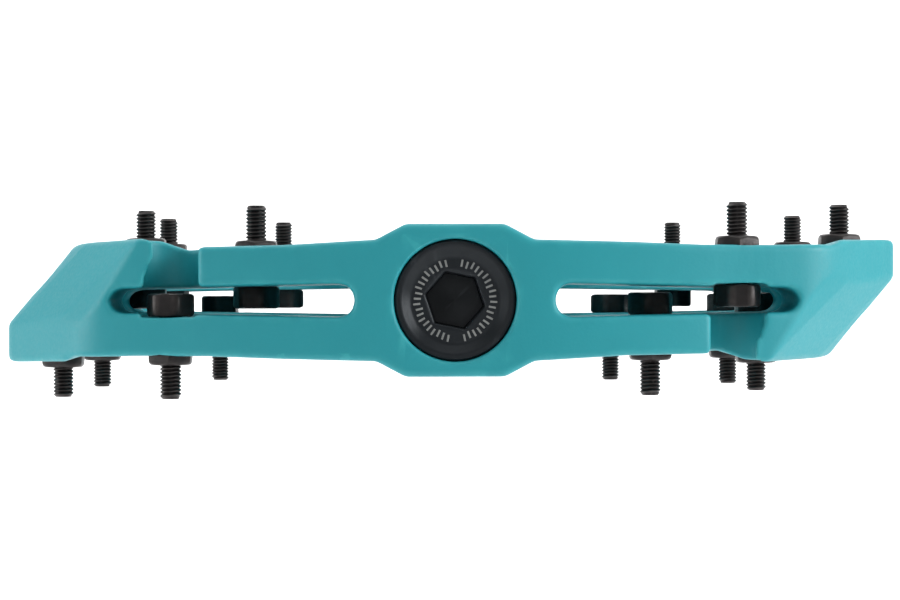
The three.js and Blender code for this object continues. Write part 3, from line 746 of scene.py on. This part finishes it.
def placing_group():
    """Copies of a threaded shape on points that carry a rotation."""
    t = Tree("placed_hardware")
    t.socket("Geometry", "Geometry")
    t.socket("Shape", "Object")
    for name, default in (("Radius", 1.25), ("Pitch", 0.45), ("Depth", 0.0), ("From", 0.0), ("To", 0.0)):
        t.socket(name, "Float", default)
    t.socket("Scale", "Float", MM)
    t.socket("Finish", "Material")
    t.socket("Geometry", "Geometry", way="OUTPUT")
    given = t.node("NodeGroupInput").outputs
    shape = t.node("GeometryNodeObjectInfo", {"Object": given["Shape"]}).outputs["Geometry"]
    values = {"Geometry": shape}
    values.update({name: given[name] for name in ("Radius", "Pitch", "Depth", "From", "To")})
    threaded = t.tree.nodes.new("GeometryNodeGroup")
    threaded.node_tree = THREAD
    for name, value in values.items():
        t.tree.links.new(value, threaded.inputs[name])
    sized = t.node("GeometryNodeTransform", {"Geometry": threaded.outputs[0]})
    size = t.node("ShaderNodeCombineXYZ", {0: given["Scale"], 1: given["Scale"], 2: given["Scale"]})
    t.tree.links.new(size.outputs[0], sized.inputs["Scale"])
    tilt = t.node("GeometryNodeInputNamedAttribute", {"Name": "tilt"}, data_type="FLOAT_VECTOR")
    rotation = t.node("FunctionNodeEulerToRotation", {0: tilt.outputs[0]}).outputs[0]
    copies = t.node("GeometryNodeInstanceOnPoints", {"Points": given["Geometry"],
                                                     "Instance": sized.outputs[0], "Rotation": rotation})
    real = t.node("GeometryNodeRealizeInstances", {"Geometry": copies.outputs[0]})
    finished = t.node("GeometryNodeSetMaterial", {"Geometry": real.outputs[0], "Material": given["Finish"]})
    t.node("NodeGroupOutput", {0: finished.outputs[0]})
    return t.tree


PLACING = placing_group()


def set_inputs(modifier, values):
    """Set a node modifier's inputs by their names, through their identifiers."""
    for item in modifier.node_group.interface.items_tree:
        if item.item_type == "SOCKET" and item.in_out == "INPUT" and item.name in values:
            modifier[item.identifier] = values[item.name]


def placed(name, shape, places, tilts, finish, **thread):
    """Copies of a shape at the places, given in millimetres, as one plain object."""
    mesh = bpy.data.meshes.new(name + "_points")
    mesh.from_pydata([tuple(np.array(p) * MM) for p in places], [], [])
    tilt = mesh.attributes.new("tilt", "FLOAT_VECTOR", "POINT")
    tilt.data.foreach_set("vector", np.array(tilts, float).ravel())
    points = new_object(name + "_points", mesh)
    modifier = points.modifiers.new("placing", "NODES")
    modifier.node_group = PLACING
    set_inputs(modifier, {"Shape": shape, "Finish": finish, "Scale": MM, **thread})
    made = applied(points, name)
    made.data.shade_smooth()
    made.data.set_sharp_from_angle(angle=math.radians(SHARP_DEGREES))
    return made


# %% [markdown]
# Materials. Each one is a Principled shader fed by shared groups, whose noise reads Object coordinates.
# "grain" gives a fine noise and specks, for the roughness and the height, and soft clouds that mix two
# colours. "wear" is a mask on the outer edges, broken up by noise, for finishes that handling rubs pale.

# %% Shared shader groups


def grain_group():
    """Fine and coarse noise for colour, roughness and height."""
    t = Tree("grain", "ShaderNodeTree")
    t.socket("Scale", "Float", 1500.0)
    t.socket("Cloud scale", "Float", 60.0)
    for name in ("Fine", "Cloud", "Speck"):
        t.socket(name, "Float", way="OUTPUT")
    given = t.node("NodeGroupInput").outputs
    place = t.node("ShaderNodeTexCoord").outputs["Object"]
    fine = t.node("ShaderNodeTexNoise", {"Vector": place, "Scale": given["Scale"], "Detail": 4.0})
    cloud = t.node("ShaderNodeTexNoise", {"Vector": place, "Scale": given["Cloud scale"], "Detail": 5.0})
    cells = t.node("ShaderNodeTexVoronoi", {"Vector": place, "Scale": given["Scale"]})
    speck = t.math("SUBTRACT", 1.0, t.math("MULTIPLY", cells.outputs["Distance"], 1.6))
    t.node("NodeGroupOutput", {0: fine.outputs[0], 1: cloud.outputs[0], 2: speck})
    return t.tree


def wear_group():
    """A mask on rounded outer edges, broken up by noise."""
    t = Tree("wear", "ShaderNodeTree")
    t.socket("Low", "Float", 0.52)
    t.socket("High", "Float", 0.62)
    t.socket("Mask", "Float", way="OUTPUT")
    given = t.node("NodeGroupInput").outputs
    sharp = t.node("ShaderNodeNewGeometry").outputs["Pointiness"]
    place = t.node("ShaderNodeTexCoord").outputs["Object"]
    noise = t.node("ShaderNodeTexNoise", {"Vector": place, "Scale": 420.0, "Detail": 6.0}).outputs[0]
    edge = t.node("ShaderNodeMapRange", {"Value": sharp, 1: given["Low"], 2: given["High"]}).outputs[0]
    rough = t.node("ShaderNodeMapRange", {"Value": noise, 1: 0.35, 2: 0.65}).outputs[0]
    t.node("NodeGroupOutput", {0: t.math("MULTIPLY", edge, rough)})
    return t.tree


GRAIN = grain_group()
WEAR = wear_group()


def material(name, colour, second, metallic, roughness, spread, grain=1500.0, cloud=60.0,
             bump=0.08, worn=None, worn_amount=0.5, edge=(0.52, 0.62), **fixed):
    """A finish: two colours mixed by clouds, grain in the roughness and height, lighter worn edges."""
    made = bpy.data.materials.new(name)
    made.use_nodes = True
    tree = made.node_tree
    t = Tree(tree=tree)
    shader = tree.nodes["Principled BSDF"]
    texture = t.node("ShaderNodeGroup", node_tree=GRAIN)
    texture.inputs["Scale"].default_value = grain
    texture.inputs["Cloud scale"].default_value = cloud
    mix = t.node("ShaderNodeMix", {"Factor": texture.outputs["Cloud"]}, data_type="RGBA")
    mix.inputs[6].default_value = (*colour, 1)
    mix.inputs[7].default_value = (*second, 1)
    shown = mix.outputs[2]
    if worn is not None:
        mask = t.node("ShaderNodeGroup", node_tree=WEAR)
        mask.inputs["Low"].default_value = edge[0]
        mask.inputs["High"].default_value = edge[1]
        amount = t.math("MULTIPLY", mask.outputs[0], worn_amount)
        over = t.node("ShaderNodeMix", {"Factor": amount, 6: shown}, data_type="RGBA")
        over.inputs[7].default_value = (*worn, 1)
        shown = over.outputs[2]
    tree.links.new(shown, shader.inputs["Base Color"])
    rough = t.node("ShaderNodeMapRange", {"Value": texture.outputs["Fine"], 1: 0.3, 2: 0.7,
                                          3: roughness - spread, 4: roughness + spread})
    tree.links.new(rough.outputs[0], shader.inputs["Roughness"])
    height = t.math("ADD", texture.outputs["Fine"], t.math("MULTIPLY", texture.outputs["Speck"], 0.5))
    relief = t.node("ShaderNodeBump", {"Strength": bump, "Distance": 0.00006, "Height": height})
    tree.links.new(relief.outputs[0], shader.inputs["Normal"])
    shader.inputs["Metallic"].default_value = metallic
    for socket, value in fixed.items():
        shader.inputs[socket.replace("_", " ")].default_value = value
    return made


# %% [markdown]
# The platform is dyed nylon from a mould with a fine matt grain, and its edges are rubbed paler. The
# pins and nuts are blackened steel, the cap is black anodised aluminium with paler marks, and the axle
# is dark chromoly steel. Inside the hub the bearing is bright steel, the bushing tan plastic and the
# seals rubber, as is usual in such pedals.

# %% The finishes
NYLON = material("moulded_nylon", (0.008, 0.245, 0.288), (0.014, 0.300, 0.345), 0.0, 0.50, 0.07,
                 grain=2600.0, cloud=45.0, bump=0.14, worn=(0.05, 0.44, 0.47), worn_amount=0.5,
                 edge=(0.505, 0.56), Specular_IOR_Level=0.42)
BLACK_OXIDE = material("black_oxide_steel", (0.012, 0.011, 0.0115), (0.026, 0.022, 0.022), 0.55, 0.40,
                       0.10, grain=3200.0, cloud=700.0, bump=0.10, worn=(0.16, 0.14, 0.13),
                       worn_amount=0.4)
CAP_BLACK = material("anodised_black", (0.010, 0.013, 0.016), (0.016, 0.020, 0.024), 0.35, 0.33, 0.05,
                     grain=3000.0, cloud=300.0, bump=0.05, worn=(0.08, 0.09, 0.10), worn_amount=0.3,
                     Specular_IOR_Level=0.3)
TICK_GREY = material("lasered_marks", (0.16, 0.17, 0.17), (0.32, 0.33, 0.32), 0.2, 0.55, 0.1,
                     grain=2500.0, cloud=900.0, bump=0.1)
CHROMOLY = material("dark_chromoly", (0.10, 0.10, 0.11), (0.17, 0.17, 0.18), 0.95, 0.34, 0.08,
                    grain=2200.0, cloud=160.0, bump=0.06, worn=(0.42, 0.42, 0.43), worn_amount=0.5)
BEARING_STEEL = material("bearing_steel", (0.46, 0.46, 0.47), (0.56, 0.56, 0.57), 1.0, 0.20, 0.05,
                         grain=2600.0, cloud=240.0, bump=0.03)
BUSHING_POLYMER = material("bushing_polymer", (0.30, 0.24, 0.13), (0.40, 0.33, 0.19), 0.0, 0.50, 0.08,
                           grain=1800.0, cloud=220.0, bump=0.08)
RUBBER = material("seal_rubber", (0.012, 0.012, 0.013), (0.024, 0.024, 0.025), 0.0, 0.66, 0.08,
                  grain=2000.0, cloud=180.0, bump=0.12)
FINISHES = (NYLON, BLACK_OXIDE, CAP_BLACK, TICK_GREY, CHROMOLY, BEARING_STEEL, BUSHING_POLYMER, RUBBER)
print("materials:", [finish.name for finish in FINISHES])

# %% [markdown]
# The shell stands in for the CAD platform: it rides on the same body, so the joint that turns the platform
# turns the shell with it.

# %% The platform joins its body
shell.data.materials.clear()
shell.data.materials.append(NYLON)
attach(shell, "platform")
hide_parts("platform_body")
print("platform_shell triangles:", sum(len(p.vertices) - 2 for p in shell.data.polygons))

# %% [markdown]
# Sixteen pins and sixteen nuts: eight point up and eight down. Each goes where its CAD pin is. The
# screws stop at any angle, but the nuts sit in moulded pockets that all stand the same way.

# %% Pins and nuts on the platform
pin_places = [(p["x"], p["y"], p["side"] * p["foot"]) for p in PINS]
nut_places = [(p["x"], p["y"], p["side"] * (p["nut_top"] - NUT_HEIGHT)) for p in PINS]
PIN_TURN_STEP = math.radians(17)


def tilts(turns):
    """Rotations that turn a shape about its axis, and over if its pin points down."""
    return [(0.0 if p["side"] > 0 else math.pi, 0.0, p["side"] * turn) for p, turn in zip(PINS, turns)]


pin_turns = [PIN_TURN_STEP * round(2 * p["x"] - p["y"]) for p in PINS]
pins = placed("traction_pins", PIN_SHAPE, pin_places, tilts(pin_turns), BLACK_OXIDE, Radius=PIN_RADIUS,
              Pitch=PIN_PITCH, Depth=THREAD_DEPTH, From=HEAD_HEIGHT + 0.25, To=PIN_TOTAL - 0.1)
nuts = placed("pin_nuts", NUT_SHAPE, nut_places, tilts([0.0] * len(PINS)), BLACK_OXIDE)
for made, prefix in ((pins, "pin_"), (nuts, "nut_")):
    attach(made, "platform")
    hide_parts(*[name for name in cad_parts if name.startswith(prefix)])
    print(made.name, "triangles:", sum(len(p.vertices) - 2 for p in made.data.polygons))

# %% [markdown]
# The end cap closes the hub. Its rim is a plain ring, then a cone falls to a flat ring with marks, and
# the hexagonal socket in the middle takes a 6 mm key. Small rounds and chamfers catch the light. The
# socket's corners stand left and right, turned a little, as a screwed part seldom stops square. The
# outside's points are (radius, height, rounding), with the height growing towards the open end.

# %% The end cap
CAP_TURN = math.radians(18.6)
CAP_LOW, CAP_HIGH = node_box_mm("end_cap")
CAP_FACE = float(-CAP_LOW[1])
CAP_RADIUS = float(CAP_HIGH[0])
CAP_BACK = float(-CAP_HIGH[1])
CAP_RING = 5.0
CAP_RECESS = 0.9
SOCKET_HALF = 3.0
SOCKET_DEPTH = 4.6
RING_GROOVE = (98.0, 99.2, 6.2)
CAP_FACETS = 96
CAP_SHARP_DEGREES = 38


def rounded_corner(before, corner, after, radius, steps=4):
    """Points of a small round between two profile lines."""
    corner = np.array(corner, float)
    ends = []
    for end in (before, after):
        way = np.array(end, float) - corner
        ends.append(corner + way * min(radius / np.linalg.norm(way), 0.45))
    return [tuple((1 - t) ** 2 * ends[0] + 2 * t * (1 - t) * corner + t * t * ends[1])
            for t in np.linspace(0, 1, steps)]


def rounded_profile(points):
    """Profile points without flats, from (radius, height, rounding) corners."""
    corners = [point[:2] for point in points]
    out = [corners[0]]
    for i in range(1, len(points) - 1):
        rounding = points[i][2]
        if rounding:
            out += rounded_corner(corners[i - 1], corners[i], corners[i + 1], rounding)
        else:
            out.append(corners[i])
    return [(radius, height, None) for radius, height in out + [corners[-1]]]


def to_hub(mesh):
    """A part swept round Z lies down along the axle: its top becomes the open end."""
    points = np.empty(len(mesh.vertices) * 3)
    mesh.vertices.foreach_get("co", points)
    x, y, z = points.reshape(-1, 3).T
    mesh.vertices.foreach_set("co", (np.stack([x, -z, y], 1) * MM).ravel())
    mesh.update()
    return mesh


def cap_mesh():
    ring = CAP_FACE - CAP_RECESS
    floor = ring - SOCKET_DEPTH
    corner = hex_corner(SOCKET_HALF)
    groove_back, groove_front, groove_radius = RING_GROOVE
    outside = [(0.05, CAP_BACK, 0), (CAP_RADIUS, CAP_BACK, 0.3), (CAP_RADIUS, groove_back, 0.12),
               (groove_radius, groove_back, 0.12), (groove_radius, groove_front, 0.12),
               (CAP_RADIUS, groove_front, 0.12), (CAP_RADIUS, CAP_FACE, 0.32),
               (CAP_RADIUS - 0.62, CAP_FACE, 0.3), (CAP_RING, ring, 0.35), (corner + 0.28, ring, 0)]
    socket = [(corner + 0.14, ring - 0.1, SOCKET_HALF + 0.17),
              (corner + 0.02, ring - 0.26, SOCKET_HALF + 0.02),
              (corner, ring - 0.34, SOCKET_HALF), (corner, floor + 0.1, SOCKET_HALF),
              (corner - 0.1, floor, SOCKET_HALF - 0.1), (2.0, floor, None), (0.05, floor - 0.5, None)]
    profile = rounded_profile(outside) + socket
    return to_hub(turned("end_cap_shape", profile, CAP_FACETS, turn=CAP_TURN))


cap = new_object("hub_end_cap", cap_mesh())
cap.data.set_sharp_from_angle(angle=math.radians(CAP_SHARP_DEGREES))
cap.data.materials.append(CAP_BLACK)
print("cap: face at", round(CAP_FACE, 2), "mm, radius", round(CAP_RADIUS, 2), "mm")

# %% [markdown]
# Where the real cap carries lettering, this one has a ring of plain marks. They are equal short bars
# that point at the middle, every second and third one set a little out or in, with two gaps in the
# ring. They look like marking from afar and say nothing.

# %% Plain marks round the cap
MARK_COUNT = 44
MARK_RING = 4.36
MARK_SKIP = (10, 11, 32, 33)
MARK_START = 0.1
MARK_STAGGER = (0.0, 0.1, -0.1)
MARK_WIDTH = 0.24
MARK_LENGTH = 0.84
MARK_THICKNESS = 0.03


def bar_mesh():
    half_w, half_l = MARK_WIDTH / 2, MARK_LENGTH / 2
    corners = [(-half_w, -half_l), (half_w, -half_l), (half_w, half_l), (-half_w, half_l)]
    low = [(x, y, 0) for x, y in corners]
    high = [(x * 0.8, y * 0.92, MARK_THICKNESS) for x, y in corners]
    faces = [(3, 2, 1, 0), (4, 5, 6, 7), (0, 1, 5, 4), (1, 2, 6, 5), (2, 3, 7, 6), (3, 0, 4, 7)]
    return mesh_of("mark_shape", low + high, faces)


def mark_points():
    places, turns = [], []
    for i in range(MARK_COUNT):
        if i in MARK_SKIP:
            continue
        angle = 2 * math.pi * i / MARK_COUNT + MARK_START
        radius = MARK_RING + MARK_STAGGER[i % len(MARK_STAGGER)]
        places.append((radius * math.cos(angle), -(CAP_FACE - CAP_RECESS), radius * math.sin(angle)))
        turns.append((math.pi / 2, math.pi / 2 - angle, 0.0))
    return places, turns


MARK_SHAPE = new_object("mark_shape", bar_mesh())
mark_places, mark_turns = mark_points()
marks = placed("cap_marks", MARK_SHAPE, mark_places, mark_turns, TICK_GREY)
for made in (cap, marks):
    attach(made, "platform")
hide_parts("end_cap")
print("marks:", len(mark_places))

# %% [markdown]
# The axle is one piece of steel: the 9/16 inch by 20 thread that screws into the crank, a round
# flange that meets the crank arm, the seat for the bushing, a short taper, the plain shaft and the
# bearing's seat. It is swept from its profile, and the same thread group cuts its thread. Heights are
# counted from the crank shoulder into the crank, and its corners are (radius, height, rounding).

# %% The axle
AXLE_THREAD_RADIUS = 7.1
AXLE_PITCH = 25.4 / 20
AXLE_THREAD_DEPTH = 0.72
AXLE_THREAD_END = 13.5
AXLE_HEX_HALF = 4.0
AXLE_HEX_DEPTH = 9.0
AXLE_FACETS = 96
AXLE_ROW_STEP = 0.16
AXLE_CORNERS = [
    (6.62, 1.1, 0), (6.6, 0.6, 0.15), (7.25, 0.02, 0.1), (8.8, 0.0, 0.5), (8.8, -3.4, 0.45),
    (6.5, -3.4, 0.3), (6.5, -22.5, 1.2), (4.6, -30, 1.5), (4.6, -82.3, 0.4), (4.0, -82.8, 0.3),
    (4.0, -85.3, 0.3), (3.0, -85.3, 0.12), (3.0, -94.4, 0.25), (2.6, -94.9, 0.2), (0.05, -94.9, 0),
]


def axle_mesh():
    """From the bottom of the crank end's socket outwards and down to the open end's tip."""
    top = AXLE_THREAD_END
    corner = hex_corner(AXLE_HEX_HALF)
    hollow = top - AXLE_HEX_DEPTH
    socket = [(0.05, hollow - 1.2, None), (corner - 0.5, hollow, None),
              (corner, hollow + 0.1, AXLE_HEX_HALF), (corner, top - 0.5, AXLE_HEX_HALF),
              (corner + 0.1, top - 0.3, AXLE_HEX_HALF + 0.1), (corner + 0.42, top, None)]
    end = [(6.2, top, None), (6.45, top - 0.08, None), (6.7, top - 0.35, None)]
    rows = rows_between(1.35, top - 0.75, AXLE_ROW_STEP)[::-1]
    thread = [(AXLE_THREAD_RADIUS, z, None) for z in rows]
    return turned("axle_shape", socket + end + thread + rounded_profile(AXLE_CORNERS), AXLE_FACETS)


# This profile runs downwards on the outside, so its faces come out inside out and are flipped.
AXLE_SHAPE = new_object("axle_shape", axle_mesh())
AXLE_SHAPE.data.flip_normals()
axle = placed("threaded_axle", AXLE_SHAPE, [(0, 0, 0)], [(-math.pi / 2, 0, 0)], CHROMOLY,
              Radius=AXLE_THREAD_RADIUS, Pitch=AXLE_PITCH, Depth=AXLE_THREAD_DEPTH,
              From=1.4, To=AXLE_THREAD_END - 0.8)
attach(axle, "axle")
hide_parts("axle")
for shape in (PIN_SHAPE, NUT_SHAPE, MARK_SHAPE, AXLE_SHAPE):
    bpy.data.objects.remove(shape)
print("threaded_axle triangles:", sum(len(p.vertices) - 2 for p in axle.data.polygons))

# %% [markdown]
# The parts inside the hub keep their CAD shapes, as turned rings and balls are already what they
# are. They get their finishes in their own slots.

# %% Finishes for the parts inside the hub
INNER_FINISHES = [
    ("bearing_", BEARING_STEEL), ("bushing", BUSHING_POLYMER), ("crank_side_seal", RUBBER),
    ("end_cap_oring", RUBBER), ("axle_washer", BEARING_STEEL), ("axle_locknut", BLACK_OXIDE),
]
for name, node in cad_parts.items():
    for prefix, finish in INNER_FINISHES:
        if name.startswith(prefix):
            node.data.materials.clear()
            node.data.materials.append(finish)
            print(name, "->", finish.name)

# %% [markdown]
# The studio: a pale paper sweep, a broad light above, one on each side, a weak one in front, and one
# aimed at the back of the sweep. A long lens looks at the open end almost straight along the axle.

# %% Studio and camera
SWEEP_FRONT = -2.2
SWEEP_BACK = 1.1
SWEEP_LOW = -0.24
SWEEP_TOP = 1.6
SWEEP_HALF_WIDTH = 2.4
BEND_START = 0.5
BEND_RADIUS = 0.6
WORLD_STRENGTH = 0.32
LENS_MM = 102.4
CAMERA_PLACE = (-0.00445, -0.3959, -0.00044)
CAMERA_TURN = (math.pi / 2 + 0.0016, 0.002, -0.0131)


def sweep_mesh():
    line = [(SWEEP_FRONT, SWEEP_LOW), (BEND_START, SWEEP_LOW)]
    line += [(BEND_START + BEND_RADIUS * math.sin(a), SWEEP_LOW + BEND_RADIUS - BEND_RADIUS * math.cos(a))
             for a in np.linspace(0.1, 1.57, 24)]
    line += [(SWEEP_BACK, SWEEP_TOP)]
    vertices = [(x, y, z) for y, z in line for x in (-SWEEP_HALF_WIDTH, SWEEP_HALF_WIDTH)]
    faces = [(2 * i, 2 * i + 1, 2 * i + 3, 2 * i + 2) for i in range(len(line) - 1)]
    return mesh_of("sweep", vertices, faces)


PAPER = material("studio_paper", (0.88, 0.88, 0.88), (0.92, 0.92, 0.92), 0.0, 0.9, 0.04,
                 grain=60.0, cloud=4.0, bump=0.02)
sweep = new_object("studio_sweep", sweep_mesh())
sweep.data.materials.append(PAPER)


def area_light(name, place, target, size, power):
    lamp = bpy.data.lights.new(name, "AREA")
    lamp.shape = "RECTANGLE"
    lamp.size, lamp.size_y = size
    lamp.energy = power
    made = new_object(name, lamp)
    made.location = place
    made.rotation_euler = (Vector(target) - Vector(place)).to_track_quat("-Z", "Y").to_euler()
    return made


MIDDLE = (0, CENTRE_Y * MM, 0)
lights = [
    area_light("top_light", (0.0, -0.1, 0.75), MIDDLE, (0.9, 0.7), 3.4),
    area_light("right_light", (0.75, -0.25, 0.2), MIDDLE, (0.6, 0.5), 6.6),
    area_light("left_light", (-0.75, -0.12, 0.08), MIDDLE, (0.6, 0.5), 3.6),
    area_light("front_light", (-0.25, -0.9, 0.25), MIDDLE, (0.8, 0.5), 0.6),
    area_light("sweep_light", (0.0, 0.35, 0.7), (0, 1.0, 0.1), (1.6, 0.4), 14),
]

world = bpy.data.worlds.new("soft_white")
world.use_nodes = True
world.node_tree.nodes["Background"].inputs["Color"].default_value = (1, 1, 1, 1)
world.node_tree.nodes["Background"].inputs["Strength"].default_value = WORLD_STRENGTH
bpy.context.scene.world = world

lens = bpy.data.cameras.new("product_camera")
lens.lens = LENS_MM
lens.sensor_width = 36
camera = new_object("product_camera", lens)
camera.location = CAMERA_PLACE
camera.rotation_euler = CAMERA_TURN
bpy.context.scene.camera = camera
bpy.context.scene.view_settings.view_transform = "Standard"
print("lights:", [light.name for light in lights], "lens:", LENS_MM, "mm")
